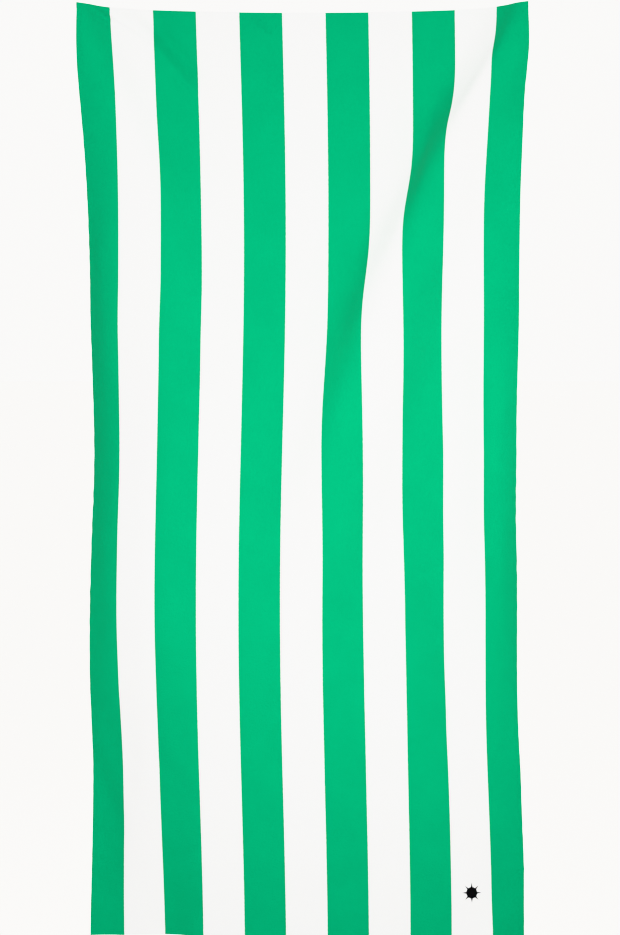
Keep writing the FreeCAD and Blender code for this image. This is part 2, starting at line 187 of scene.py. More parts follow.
# The cloth's small waves: how long and how high they are, and how many are summed, drawn from which seed.
Waves = namedtuple("Waves", "length height terms seed")
BROAD = Waves(0.16, 0.0007, 9, 3)
FINE = Waves(0.060, 0.00022, 9, 5)
SIDE_PUCKERS = Waves(0.027, 0.00032, 5, 8)
END_PUCKERS = Waves(0.027, 0.00032, 5, 9)
SHORTEST, LONGEST = 0.7, 1.5  # of the waves that are summed, as shares of the length
SLANT = 0.5  # how much less they change along their crests
PUCKER_REACH = 0.020  # how far in from a hem its puckers show
CALM_EDGE = 0.03  # the hems hold the cloth's edge flatter than its middle

# A crease is a short soft step about a line between two flat places, in metres. Where "rise" is positive, the
# cloth lies further back above the line than below it.
Crease = namedtuple("Crease", "name start end width rise")
CREASES = [
    Crease("pull from the top right corner", (0.664, 0.170), (0.742, 0.026), 0.013, 0.0032),
    Crease("its shadow side", (0.590, 0.330), (0.612, 0.165), 0.012, 0.0016),
    Crease("pull from the top left corner", (0.105, 0.004), (0.208, 0.132), 0.013, 0.0088),
    Crease("top left corner's edge", (0.005, 0.000), (0.010, 0.095), 0.010, -0.0020),
    Crease("pucker at the top left corner", (0.034, 0.001), (0.128, 0.052), 0.004, 0.0018),
    Crease("pucker in the third green stripe", (0.306, 0.006), (0.328, 0.034), 0.005, 0.0030),
    Crease("left, above the lower corner", (0.004, 1.262), (0.066, 1.402), 0.017, -0.0020),
    Crease("left, in the second stripe", (0.136, 1.275), (0.190, 1.330), 0.018, -0.0014),
    Crease("lower middle", (0.405, 1.345), (0.650, 1.205), 0.032, -0.0018),
    Crease("below the middle", (0.420, 1.520), (0.535, 1.425), 0.017, -0.0013),
    Crease("right of the middle", (0.560, 1.060), (0.650, 0.940), 0.026, -0.0018),
    Crease("lower right corner", (0.690, 1.590), (0.765, 1.520), 0.020, 0.0012),
]


def creases(across, down):
    """How far the creases move the cloth back. Each fades away past its ends and on both its sides."""
    total = 0.0
    for crease in CREASES:
        start, end = np.array(crease.start), np.array(crease.end)
        half = np.linalg.norm(end - start) / 2
        along = (end - start) / (2 * half)
        right, below = across - (start[0] + end[0]) / 2, down - (start[1] + end[1]) / 2
        reach = (right * along[0] + below * along[1]) / half
        above = (right * along[1] - below * along[0]) / crease.width
        total = total + crease.rise * above * np.exp(-above * above / 2 - reach**4 / 2)
    return total


def ripples(over, along, waves):
    """Uneven waves that follow each other over one flat direction, with crests mostly along the other."""
    draw = np.random.default_rng(waves.seed)
    total = 0.0
    for _ in range(waves.terms):
        heading = draw.uniform(-1.0, 1.0)
        length = waves.length * draw.uniform(SHORTEST, LONGEST)
        phase = draw.uniform(0, 2 * math.pi)
        run = over * math.cos(heading) + along * SLANT * math.sin(heading)
        total = total + np.sin(2 * math.pi * run / length + phase)
    return waves.height * (total / math.sqrt(waves.terms))


def relief(across, down):
    """The small shapes on the folds, in metres behind the face: waves, puckers at the hems and creases."""
    uneven = ripples(across, down, BROAD) + ripples(across, down, FINE)
    near_side = np.minimum(across, WIDTH - across)
    near_end = np.minimum(down, LENGTH - down)
    inside = smooth(np.minimum(near_side, near_end) / CALM_EDGE)
    at_sides = ripples(down, across, SIDE_PUCKERS) * np.exp(-((near_side / PUCKER_REACH) ** 2))
    at_ends = ripples(across, down, END_PUCKERS) * np.exp(-((near_end / PUCKER_REACH) ** 2))
    puckers = at_sides + at_ends
    return uneven * inside + puckers + creases(across, down)


CLOTH = HangingCloth(WIDTH, LENGTH, TOP_SAG)


# Meshes


SMOOTH_UNDER = 40  # faces that meet at more degrees than this keep a crisp edge


def new_piece(name, points, faces, material):
    """A mesh object, smooth but for its crisp edges."""
    mesh = bpy.data.meshes.new(name)
    mesh.from_pydata(np.asarray(points).reshape(-1, 3).tolist(), [], faces)
    mesh.materials.append(material)
    shape = bmesh.new()
    shape.from_mesh(mesh)
    bmesh.ops.recalc_face_normals(shape, faces=shape.faces)
    shape.to_mesh(mesh)
    shape.free()
    mesh.shade_smooth()
    mesh.set_sharp_from_angle(angle=math.radians(SMOOTH_UNDER))
    piece = bpy.data.objects.new(name, mesh)
    bpy.context.scene.collection.objects.link(piece)
    return piece


def lay_flat(piece, name, across, down, backness=0.0):
    """Gives every vertex its flat place, and 1 where it is on the panel's back, for the materials."""
    across, down, backness = np.broadcast_arrays(across, down, backness)
    flat = np.stack([across, down, backness], axis=-1).reshape(-1, 3)
    attribute = piece.data.attributes.new(name, "FLOAT_VECTOR", "POINT")
    attribute.data.foreach_set("vector", flat.astype(np.float32).ravel())


def grid_faces(columns, rows, first=0, flip=False):
    """Quads over a grid of points stored column by column."""
    corner = first + (np.arange(columns - 1)[:, None] * rows + np.arange(rows - 1)).ravel()
    quads = np.stack([corner, corner + rows, corner + rows + 1, corner + 1], axis=-1)
    return (quads[:, ::-1] if flip else quads).tolist()


def tube_faces(rings, sides, count=1):
    """Quads round `count` closed tubes, and a face over each end."""
    faces = []
    for tube in range(count):
        first = tube * rings * sides
        for ring in range(rings - 1):
            near = first + ring * sides
            for side in range(sides):
                after = (side + 1) % sides
                faces.append((near + side, near + after, near + sides + after, near + sides + side))
        faces.append(tuple(range(first, first + sides)))
        faces.append(tuple(range(first + (rings - 1) * sides, first + rings * sides)))
    return faces


# The panel


PANEL_COLUMNS, PANEL_ROWS = 150, 300
CROWD_ACROSS, CROWD_DOWN = 0.35, 0.55  # how much closer together they lie at the edges
EDGE_INSET = 0.0006  # how far the panel stops inside the edge, under the hem's rounded fold


def spread(length, count, crowd):
    """Places from just inside one edge to just inside the other, closer together near both."""
    even = np.linspace(0.0, 1.0, count + 1)
    eased = even - crowd * np.sin(2 * math.pi * even) / (2 * math.pi)
    return EDGE_INSET + (length - 2 * EDGE_INSET) * eased


def towel_cloth():
    """The panel: a front and a back, joined round their border."""
    across = spread(WIDTH, PANEL_COLUMNS, CROWD_ACROSS)[:, None]
    down = spread(LENGTH, PANEL_ROWS, CROWD_DOWN)[None, :]
    front = CLOTH.place(across, down, 0.0)
    back = CLOTH.place(across, down, CLOTH_THICKNESS)
    columns, rows = front.shape[:2]
    total = columns * rows
    faces = grid_faces(columns, rows) + grid_faces(columns, rows, total, flip=True)
    border = [c * rows for c in range(columns)]
    border += [(columns - 1) * rows + r for r in range(1, rows)]
    border += [c * rows + rows - 1 for c in range(columns - 2, -1, -1)]
    border += [r for r in range(rows - 2, 0, -1)]
    for a, b in zip(border, border[1:] + border[:1]):
        faces.append((a, b, b + total, a + total))
    material = striped_cloth("striped_cloth", BACK_FADE)
    piece = new_piece("towel_cloth", np.stack([front, back]), faces, material)
    front_and_back = np.array([0.0, 1.0])[:, None, None]
    lay_flat(piece, "cloth", across[None], down[None], front_and_back)
    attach(piece, "towel")
    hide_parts("towel_panel")
    return piece


# The hems


# An edge of the cloth. "flat" turns (along it, inward from it) into a flat place, and its hem runs along it
# from "start" to "end".
Edge = namedtuple("Edge", "name start end flat")
EDGES = [
    Edge("top", 0.0, WIDTH, lambda along, inward: (along, inward)),
    Edge("bottom", 0.0, WIDTH, lambda along, inward: (along, LENGTH - inward)),
    Edge("left", HEM_WIDTH, LENGTH - HEM_WIDTH, lambda along, inward: (inward, along)),
    Edge("right", HEM_WIDTH, LENGTH - HEM_WIDTH, lambda along, inward: (WIDTH - inward, along)),
]
HEM_BACK = CLOTH_THICKNESS + HEM_THICKNESS
STITCH_INSET = 0.008
# The turned edge in section, as (inward, behind) in millimetres: round its fold, over its back, through the
# groove that its stitches press, round its inner edge and back along the panel.
HEM_SECTION = [
    (0.55, 0.0), (0.22, 0.12), (0.05, 0.45), (0.0, 0.95), (0.07, 1.45), (0.35, 1.85),
    (0.9, 2.02), (2.2, 2.08), (4.2, 2.05), (6.2, 1.98),
    (7.4, 1.86), (8.0, 1.72), (8.6, 1.86),
    (9.3, 1.93), (9.8, 1.85), (10.0, 1.5), (9.95, 1.1), (9.7, 0.83),
    (5.0, 0.82), (0.7, 0.82),
]


def hem(edge):
    """One turned edge. It shows the printed face of the cloth on both sides, so its back isn't faded."""
    along = np.linspace(edge.start, edge.end, round((edge.end - edge.start) / STEP) + 1)[:, None]
    section = np.array(HEM_SECTION) * MM
    inward, behind = section[None, :, 0], section[None, :, 1]
    across, down = np.broadcast_arrays(*edge.flat(along, inward))
    points = CLOTH.place(across, down, behind)
    faces = tube_faces(*points.shape[:2])
    piece = new_piece(f"{edge.name}_hem_fold", points, faces, striped_cloth("hem_cloth", back_fade=0.0))
    lay_flat(piece, "cloth", across, down)
    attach(piece, "towel")
    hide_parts(f"{edge.name}_hem")
    return piece


# Stitches

STITCH_PITCH, STITCH_LENGTH = 0.003, 0.0025
THREAD_HALF_WIDTH, THREAD_HEIGHT = 0.00025, 0.00024
STITCH_RINGS = [(-0.5, 0.35), (-0.3, 1.0), (0.3, 1.0), (0.5, 0.35)]  # shares of its length and its thickness
STITCH_SIDES = 6
BOBBIN_SUNK = 0.0003  # how deep the thread on the back lies in the hem


def stitch_row(start, end, flat, middles):
    """Stitches along a row. `flat` turns (along, to the side) into a flat place, and `middles` are the depths
    behind the face at which the thread lies. Returns their flat places, their depths and their faces."""
    count = int((end - start) / STITCH_PITCH)
    centre = start + (np.arange(count) + 0.5) * (end - start) / count
    ring = np.array(STITCH_RINGS)
    angle = np.arange(STITCH_SIDES) * 2 * math.pi / STITCH_SIDES
    lengthwise = ring[:, 0][:, None] * STITCH_LENGTH + np.zeros(STITCH_SIDES)
    sideways = ring[:, 1][:, None] * THREAD_HALF_WIDTH * np.cos(angle)
    outward = ring[:, 1][:, None] * THREAD_HEIGHT * np.sin(angle)
    along = centre[None, :, None, None] + lengthwise
    across, down = np.broadcast_arrays(*flat(along, sideways + np.zeros(along.shape)))
    behind = np.array(middles)[:, None, None, None] + outward
    across, down, behind = np.broadcast_arrays(across, down, behind)
    return across, down, behind, tube_faces(len(ring), STITCH_SIDES, count * len(middles))


def hem_stitching(edge):
    """The needle's thread on the front and the bobbin's thread on the back."""

    def seam(along, side):
        return edge.flat(along, STITCH_INSET + side)

    middles = (0.0, HEM_BACK - BOBBIN_SUNK)
    across, down, behind, faces = stitch_row(edge.start, edge.end, seam, middles)
    piece = new_piece(f"{edge.name}_hem_thread", CLOTH.place(across, down, behind), faces, thread_material())
    lay_flat(piece, "cloth", across, down)
    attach(piece, "towel")
    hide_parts(f"{edge.name}_hem_stitching")
    return piece


# The emblem

EMBLEM_ABOVE_EDGE = 0.081
EMBLEM_ACROSS = WIDTH + HEM_WIDTH - 1.5 * STRIPE  # the middle of the last white stripe
EMBLEM_DOWN = LENGTH - EMBLEM_ABOVE_EDGE
EMBLEM_RADIUS, DISC_RADIUS, RAY_HALF_BASE, RAY_COUNT = 0.018, 0.010, 0.0025, 8
POINTS_PER_RAY = 30
PRINT_THICKNESS = 0.00012
# The print's rings from its outline inward, as (share of the outline, share of the thickness).
PRINT_RINGS = [
    (1.0, 0.0), (1.0, 0.5), (0.85, 1.0), (0.7, 1.0), (0.55, 1.0), (0.4, 1.0), (0.25, 1.0), (0.1, 1.0),
]


def sun_radius(angle):
    """The outline of a disc with pointed rays, which start halfway out to the disc's edge."""
    sector = 2 * math.pi / RAY_COUNT
    off = np.abs((angle + sector / 2) % sector - sector / 2)
    ray = EMBLEM_RADIUS * RAY_HALF_BASE / (
        (EMBLEM_RADIUS - DISC_RADIUS / 2) * np.sin(off) + RAY_HALF_BASE * np.cos(off)
    )
    return np.maximum(ray, DISC_RADIUS)


def corner_emblem():
    """A thin layer of ink in the shape of a plain sun."""
    count = RAY_COUNT * POINTS_PER_RAY
    angles = np.arange(count) * 2 * math.pi / count
    rings = np.array(PRINT_RINGS)
    radius = rings[:, :1] * sun_radius(angles)
    across = EMBLEM_ACROSS + radius * np.sin(angles)
    down = EMBLEM_DOWN - radius * np.cos(angles)
    points = CLOTH.place(across, down, -PRINT_THICKNESS * rings[:, 1:])
    piece = new_piece("corner_sun_print", points, tube_faces(*points.shape[:2]), print_material())
    lay_flat(piece, "cloth", across, down)
    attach(piece, "towel")
    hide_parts("corner_emblem")
    return piece


# The hanging loop, a tape sewn down by its two ends, and the care label. Each hangs on the back of the top
# hem, from a seat whose axes are right along the cloth, up it and away from its back.

SEAT_GAP = 0.0003  # room for the hem's own thread under the tape and the label
SEAT = HEM_BACK + SEAT_GAP  # how far behind the cloth's face they are sewn on
SEWN_FROM_EDGE, SEWN_HEIGHT = 0.0015, 0.0065  # where the sewn ends start, and how high they are
HINGE_GAP = 0.0003  # between a sewn end and the flap that hangs from it

LOOP_MIDDLE = WIDTH / 2
TAPE_WIDTH, TAPE_THICKNESS = 0.010, 0.0009
LOOP_LENGTH, LOOP_RADIUS = 0.048, 0.005  # of the loop below its hinge, and of the outside of its bend
LOOP_DROP = SEWN_HEIGHT + HINGE_GAP + LOOP_LENGTH  # from the top of its seat to the bottom of its bend
TACK_STITCHES, TACK_HALF_WIDTH, TACK_HALF_HEIGHT = 34, 0.0058, 0.00115
TACK_THICKNESS, TACK_LIFT = 0.00042, 0.0001  # of its thread, and how far the thread's middle stands out

LABEL_OFFSET = 0.040  # from the loop's middle to the label's middle
LABEL_MIDDLE = LOOP_MIDDLE + LABEL_OFFSET
LABEL_WIDTH, LABEL_LENGTH, LABEL_THICKNESS = 0.030, 0.050, 0.0003
LABEL_DROP = SEWN_HEIGHT + HINGE_GAP + LABEL_LENGTH
LABEL_CORNER = 0.002  # the radius of its two free corners
LABEL_CURL, LABEL_CUP, LABEL_TWIST = 0.0035, 0.0012, 0.0018  # how the free end of the label leaves the flat
LABEL_EASE = 0.03  # the stretch below the seam over which it comes to cup and twist
SEAM_LENGTH, SEAM_PITCH, SEAM_SHARE = 0.026, 0.0026, 0.85  # a stitch fills this share of its pitch
SEAM_THICKNESS, SEAM_LIFT = 0.00040, 0.00005


class Seat:
    """A place on the back of the top hem, below which a flap hangs."""

    def __init__(self, across):
        place = (np.array(across), np.array(SEWN_FROM_EDGE))
        here = CLOTH.face(*place)
        right = CLOTH.face(place[0] + STEP, place[1]) - here
        below = CLOTH.face(place[0], place[1] + STEP) - here
        self.right = right / np.linalg.norm(right)
        up = -below + self.right * below.dot(self.right)
        self.up = up / np.linalg.norm(up)
        self.back = np.cross(self.up, self.right)
        self.place = here + self.back * SEAT

    def at(self, right, behind, below):
        right, behind, below = np.broadcast_arrays(right, behind, below)
        sideways, outward = self.right * right[..., None], self.back * behind[..., None]
        return self.place + sideways + outward - self.up * below[..., None]


def rounded_section(width, thickness, lengthwise=8, round_steps=2):
    """A flat strip in section, as (to the side, out of its middle), with rounded edges."""
    half, corner = width / 2, thickness / 2
    turns = np.linspace(-math.pi / 2, math.pi / 2, round_steps * 2 + 1)
    right = [(half - corner + corner * math.cos(t), corner * math.sin(t)) for t in turns]
    top = [(x, corner) for x in np.linspace(half - corner, corner - half, lengthwise + 1)[1:-1]]
    left = [(-x, -y) for x, y in right]
    bottom = [(-x, -y) for x, y in top]
    return np.array(right + top + left + bottom)


def swept_strip(seat, line, section):
    """A strip along a line of (behind, below) places. Returns its points, and how far to the side and how far
    along the strip each of them is."""
    line = np.array(line)
    along = np.concatenate([[0.0], np.cumsum(np.linalg.norm(np.diff(line, axis=0), axis=1))])
    heading = np.gradient(line, along, axis=0)
    heading /= np.linalg.norm(heading, axis=1, keepdims=True)
    outward = np.stack([heading[:, 1], -heading[:, 0]], axis=1)
    behind = line[:, :1] + outward[:, :1] * section[None, :, 1]
    below = line[:, 1:] + outward[:, 1:] * section[None, :, 1]
    side = np.broadcast_to(section[None, :, 0], behind.shape)
    return seat.at(side, behind, below), side, np.broadcast_to(along[:, None], behind.shape)


def loop_line():
    """The tape's middle line: down its near layer, round the bend and up its far layer to the sewn ends."""
    near, far = TAPE_THICKNESS / 2, 1.5 * TAPE_THICKNESS
    bend = LOOP_RADIUS - TAPE_THICKNESS / 2
    centre = (LOOP_RADIUS, LOOP_DROP - LOOP_RADIUS)
    down = [(near, below) for below in np.linspace(0.0, centre[1], num=40)[:-1]]
    lean = math.atan2(2 * LOOP_RADIUS - near - far, centre[1] - SEWN_HEIGHT)
    turns = np.linspace(math.pi, -lean, num=16)
    around = [(centre[0] + bend * math.cos(t), centre[1] + bend * math.sin(t)) for t in turns]
    top = np.array((far, SEWN_HEIGHT))
    up = [tuple(np.array(around[-1]) * (1 - t) + top * t) for t in np.linspace(0.0, 1.0, num=36)[1:]]
    sewn = [(far, below) for below in np.linspace(SEWN_HEIGHT, 0.0, num=7)[1:]]
    return down + around + up + sewn


def hanging_loop():
    """The tape, sewn ends and loop in one strip, which bends at its hinge."""
    seat = Seat(LOOP_MIDDLE)
    points, side, along = swept_strip(seat, loop_line(), rounded_section(TAPE_WIDTH, TAPE_THICKNESS))
    piece = new_piece("hanging_loop_tape", points, tube_faces(*points.shape[:2]), tape_material())
    lay_flat(piece, "tape", side, along)
    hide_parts("hanging_loop", "loop_sewn_ends")
    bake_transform(piece)


def label_line():
    """The label's middle line, which curls away from the towel, with closer places at the rounded corners."""
    turns = np.linspace(0.0, math.pi / 2, num=7)
    rounded = LABEL_DROP - LABEL_CORNER * (1 - np.sin(turns))
    straight = np.linspace(0.0, rounded[0], num=58)[:-1]
    below = np.concatenate([straight, rounded])
    curl = LABEL_CURL * smooth((below - SEWN_HEIGHT) / (LABEL_DROP - SEWN_HEIGHT)) ** 2
    return np.stack([LABEL_THICKNESS / 2 + curl, below], axis=1)


def care_label():
    """The satin, sewn edge and flap in one strip, which bends at its hinge and cups and twists below it."""
    seat = Seat(LABEL_MIDDLE)
    section = rounded_section(LABEL_WIDTH, LABEL_THICKNESS, lengthwise=14, round_steps=1)
    points, side, along = swept_strip(seat, label_line(), section)
    free = smooth((along - SEWN_HEIGHT) / LABEL_EASE)
    cup = LABEL_CUP * (2 * side / LABEL_WIDTH) ** 2 * free + LABEL_TWIST * side / LABEL_WIDTH * free
    points = points + cup[..., None] * seat.back
    past_corner = np.clip(along - along[-1, 0] + LABEL_CORNER, 0.0, LABEL_CORNER)
    inset = LABEL_CORNER - np.sqrt(LABEL_CORNER**2 - past_corner**2)
    points = points - (inset * 2 * side / LABEL_WIDTH)[..., None] * seat.right
    piece = new_piece("care_label_flap", points, tube_faces(*points.shape[:2]), satin_material())
    lay_flat(piece, "tape", side, along)
    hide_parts("care_label", "label_sewn_edge")
    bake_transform(piece)


def sewn_threads(name, seat, starts, ends, behind, thickness, material):
    """Short stitches between pairs of (right, below) places, lying on a surface `behind` the seat."""
    points = []
    for start, end in zip(np.array(starts), np.array(ends)):
        run = end - start
        across = np.array((run[1], -run[0])) / np.linalg.norm(run)
        for share, size in STITCH_RINGS:
            for side in range(STITCH_SIDES):
                turn = side * 2 * math.pi / STITCH_SIDES
                flat = (start + end) / 2 + run * share + across * size * thickness / 2 * math.cos(turn)
                points.append(seat.at(flat[0], behind + size * thickness / 2 * math.sin(turn), flat[1]))
    faces = tube_faces(len(STITCH_RINGS), STITCH_SIDES, len(starts))
    return new_piece(name, points, faces, material)


def loop_bar_tack():
    """Dense zigzag stitches across both layers of the tape."""
    seat = Seat(LOOP_MIDDLE)
    middle = SEWN_HEIGHT / 2
    places = np.linspace(-TACK_HALF_WIDTH, TACK_HALF_WIDTH, TACK_STITCHES + 1)
    ends = [(x, middle + TACK_HALF_HEIGHT * (-1) ** i) for i, x in enumerate(places)]
    behind = 2 * TAPE_THICKNESS + TACK_LIFT
    thread = thread_material(GREEN)
    piece = sewn_threads("loop_bar_tack_thread", seat, ends[:-1], ends[1:], behind, TACK_THICKNESS, thread)
    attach(piece, "towel")
    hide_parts("loop_bar_tack")


def label_stitching():
    """One row of stitches through the label's sewn edge."""
    seat = Seat(LABEL_MIDDLE)
    places = np.arange(-SEAM_LENGTH / 2, SEAM_LENGTH / 2 - SEAM_PITCH / 2, SEAM_PITCH)
    below = SEWN_HEIGHT / 2
    starts = [(x, below) for x in places]
    ends = [(x + SEAM_PITCH * SEAM_SHARE, below) for x in places]
    behind = LABEL_THICKNESS + SEAM_LIFT
    thread = thread_material(WHITE)
    piece = sewn_threads("label_thread", seat, starts, ends, behind, SEAM_THICKNESS, thread)
    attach(piece, "towel")
    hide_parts("label_stitching")


# Materials


def connect(tree, node, inputs):
    """Gives a node's inputs their values. A value that is another node's socket is linked."""
    for name, value in inputs.items():
        if isinstance(value, bpy.types.NodeSocket):
            tree.links.new(value, node.inputs[name])
        else:
            node.inputs[name].default_value = value


def add_node(tree, kind, inputs=None, **settings):
    made = tree.nodes.new(kind)
    for name, value in settings.items():
        setattr(made, name, value)
    connect(tree, made, inputs or {})
    return made


def maths(tree, operation, a, b=0.0, c=0.0):
    return add_node(tree, "ShaderNodeMath", {0: a, 1: b, 2: c}, operation=operation).outputs[0]


def scaled(colour, share):
    return (*(channel * share for channel in colour[:3]), 1)


def mixed(tree, factor, a, b):
    """A colour between two. The node's colours are its inputs 6 and 7 and its output 2."""
    return add_node(tree, "ShaderNodeMix", {0: factor, 6: a, 7: b}, data_type="RGBA").outputs[2]


def shaded(tree, factor, colour, darkest, lightest):
    """One colour between two of its shades, which are shares of its brightness."""
    return mixed(tree, factor, scaled(colour, darkest), scaled(colour, lightest))


def ramp(tree, value, start, end, low=0.0, high=1.0):
    """Rises from `low` where the value is `start` to `high` where it is `end`, and stays there."""
    inputs = {"Value": value, "From Min": start, "From Max": end, "To Min": low, "To Max": high}
    return add_node(tree, "ShaderNodeMapRange", inputs).outputs[0]


def blotches(tree, place, per_metre, detail=2.0, low=0.0, high=1.0):
    """Noise of so many grains per metre, between two values."""
    noise = add_node(tree, "ShaderNodeTexNoise", {"Vector": place, "Scale": per_metre, "Detail": detail})
    return ramp(tree, noise.outputs["Fac"], 0.3, 0.7, low, high)


def bumps(tree, height, depth, strength=1.0):
    """The slant of a surface that stands out by `depth` where `height` is one."""
    inputs = {"Height": height, "Distance": depth, "Strength": strength}
    return add_node(tree, "ShaderNodeBump", inputs).outputs[0]


def flat_place(tree, name):
    """The flat places that lay_flat gave the piece."""
    return add_node(tree, "ShaderNodeAttribute", attribute_name=name).outputs["Vector"]


def split(tree, place):
    """The sockets X, Y and Z of a place."""
    return add_node(tree, "ShaderNodeSeparateXYZ", {0: place}).outputs


def ribs(tree, run, pitch):
    """0 between two ribs and 1/2 on top of one."""
    return maths(tree, "PINGPONG", maths(tree, "MULTIPLY", run, 1 / pitch), 0.5)


def new_material(name):
    material = bpy.data.materials.new(name)
    material.use_nodes = True
    tree = material.node_tree
    return material, tree, tree.nodes["Principled BSDF"]


GREEN = (0.002, 0.293, 0.122, 1)
WHITE = (0.885, 0.885, 0.885, 1)
GREEN_SHADES, WHITE_SHADES = (0.965, 1.035), (0.985, 1.01)  # how dark and how light the uneven cloth gets
CLOUDY_SHARE, BRUSHED_TONE = 0.6, 0.4  # of the broad and the fine unevenness in that
BACK_FADE = 0.3  # how much of the print is missing on the back, where it only soaks through
PRINT_BLEED = 0.0004  # how soft the edge of a stripe is
WALE, COURSE = 0.0009, 0.0011  # the knit's ribs and rows
COURSE_SHARE, LOOPS_SHARE, NAP_SHARE, BRUSHED_SHARE = 0.6, 0.35, 1.2, 1.1  # in the height of the cloth's face
NAP_DEPTH = 0.00012  # how far the nap stands out
WORN_THREAD = (0.1, 0.3, 0.2, 1)
TAPE_RIB, TAPE_WARP, TAPE_DEPTH = 0.0011, 0.0005, 0.00025
WARP_SHARE = 0.35  # of the warp in the height of the tape's weave
RUB, RUB_NEARNESS = 0.18, 8.0  # how much the tape's edges are rubbed, and how close to the edge that stays
# the tape's green with painted shade between its ribs and painted light on their tops, and its paler colour
# where it rubs
TAPE_PAINTED_GROOVE_SHADE, TAPE_PAINTED_RIB_LIGHT, TAPE_RUBBED = (0.003, 0.16, 0.075, 1), (0.006, 0.27, 0.13, 1), (0.25, 0.5, 0.4, 1)
SATIN_WARP, SATIN_DEPTH = 0.0004, 0.00006
# the satin's colour without sheen and with painted sheen, which it shows in random patches, and its woven
# border's own colour
SATIN_WITHOUT_SHEEN, SATIN_PAINTED_SHEEN, SATIN_BORDER = (0.80, 0.80, 0.78, 1), (0.86, 0.86, 0.85, 1), (0.72, 0.73, 0.71, 1)
BORDER_START, BORDER_FULL = 0.0018, 0.0014  # how far in from the label's side its woven border reaches
SATIN_ROUGHNESS, BORDER_ROUGHER = 0.32, 0.3  # the satin's roughness, and how much more its border has
INK_DARK, INK_LIGHT = (0.004, 0.004, 0.004, 1), (0.012, 0.012, 0.013, 1)


def stripes(tree, place):
    """1 on a green stripe and 0 on a white one, from the flat place."""
    wobble = blotches(tree, place, per_metre=700.0, detail=1.0, low=-0.3, high=0.3)
    across = maths(tree, "MULTIPLY_ADD", wobble, MM, split(tree, place)["X"])
    counted = maths(tree, "MULTIPLY_ADD", across, 1 / STRIPE, HEM_WIDTH / STRIPE + 0.5)
    wave = maths(tree, "PINGPONG", counted, 1.0)
    soft = PRINT_BLEED / STRIPE
    return ramp(tree, wave, 0.5 - soft, 0.5 + soft)


def knit(tree, place):
    """The height of the fabric's face: fine knitted wales and courses under a short, uneven nap."""
    flat = split(tree, place)
    wale = maths(tree, "SINE", maths(tree, "MULTIPLY", flat["X"], 2 * math.pi / WALE))
    course = maths(tree, "SINE", maths(tree, "MULTIPLY", flat["Y"], 2 * math.pi / COURSE))
    loops = maths(tree, "MULTIPLY_ADD", course, COURSE_SHARE, wale)
    nap = blotches(tree, place, per_metre=1400.0, detail=4.0, low=-1.0, high=1.0)
    brushed = blotches(tree, place, per_metre=260.0, detail=3.0, low=-1.0, high=1.0)
    face = maths(tree, "MULTIPLY_ADD", nap, NAP_SHARE, maths(tree, "MULTIPLY", loops, LOOPS_SHARE))
    return maths(tree, "MULTIPLY_ADD", brushed, BRUSHED_SHARE, face)


def striped_cloth(name, back_fade):
    """Brushed microfibre with printed stripes, which show paler on its back."""
    material, tree, shader = new_material(name)
    place = flat_place(tree, "cloth")
    cloudy = blotches(tree, place, per_metre=14.0, detail=4.0)
    brushed = blotches(tree, place, per_metre=220.0, detail=3.0)
    tone = maths(tree, "MULTIPLY_ADD", brushed, BRUSHED_TONE, maths(tree, "MULTIPLY", cloudy, CLOUDY_SHARE))
    green = shaded(tree, tone, GREEN, *GREEN_SHADES)
    white = shaded(tree, tone, WHITE, *WHITE_SHADES)
    printed = mixed(tree, stripes(tree, place), white, green)
    faded = blotches(tree, place, per_metre=900.0, detail=3.0, low=back_fade * 0.6, high=back_fade * 1.4)
    missing = maths(tree, "MULTIPLY", split(tree, place)["Z"], faded)
    connect(tree, shader, {
        "Base Color": mixed(tree, missing, printed, WHITE),
        "Roughness": blotches(tree, place, per_metre=220.0, detail=3.0, low=0.84, high=0.96),
        "Normal": bumps(tree, knit(tree, place), NAP_DEPTH),
        "Specular IOR Level": 0.12,
        "Sheen Weight": 0.06,
        "Sheen Roughness": 0.45,
    })
    return material


def thread_material(colour=None):
    """Polyester thread of one colour, or of the stripe that it crosses."""
    material, tree, shader = new_material("sewing_thread")
    dyed = colour or mixed(tree, stripes(tree, flat_place(tree, "cloth")), WHITE, GREEN)
    position = add_node(tree, "ShaderNodeNewGeometry").outputs["Position"]
    connect(tree, shader, {
        "Base Color": mixed(tree, blotches(tree, position, per_metre=900.0, high=0.08), dyed, WORN_THREAD),
        "Roughness": 0.6,
        "Specular IOR Level": 0.15,
    })
    return material


def tape_material():
    """Woven grosgrain: ribs across the tape, a finer warp along it, and a paler edge where it rubs. Its
    colour has painted shade between the ribs and painted light on their tops.
    """
    material, tree, shader = new_material("loop_tape")
    place = flat_place(tree, "tape")
    flat = split(tree, place)
    warp = ribs(tree, flat["X"], TAPE_WARP)
    weave = maths(tree, "MULTIPLY_ADD", warp, WARP_SHARE, ribs(tree, flat["Y"], TAPE_RIB))
    off_middle = maths(tree, "MULTIPLY", maths(tree, "ABSOLUTE", flat["X"]), 2 / TAPE_WIDTH)
    rubbed = maths(tree, "MULTIPLY", maths(tree, "POWER", off_middle, RUB_NEARNESS), RUB)
    connect(tree, shader, {
        # painted shade and painted light: the weave's height makes the colour darker between the ribs and
        # lighter on their tops
        "Base Color": mixed(tree, rubbed, mixed(tree, weave, TAPE_PAINTED_GROOVE_SHADE, TAPE_PAINTED_RIB_LIGHT), TAPE_RUBBED),
        "Roughness": blotches(tree, place, per_metre=500.0, low=0.55, high=0.75),
        "Normal": bumps(tree, weave, TAPE_DEPTH, strength=0.8),
        "Specular IOR Level": 0.35,
    })
    return material


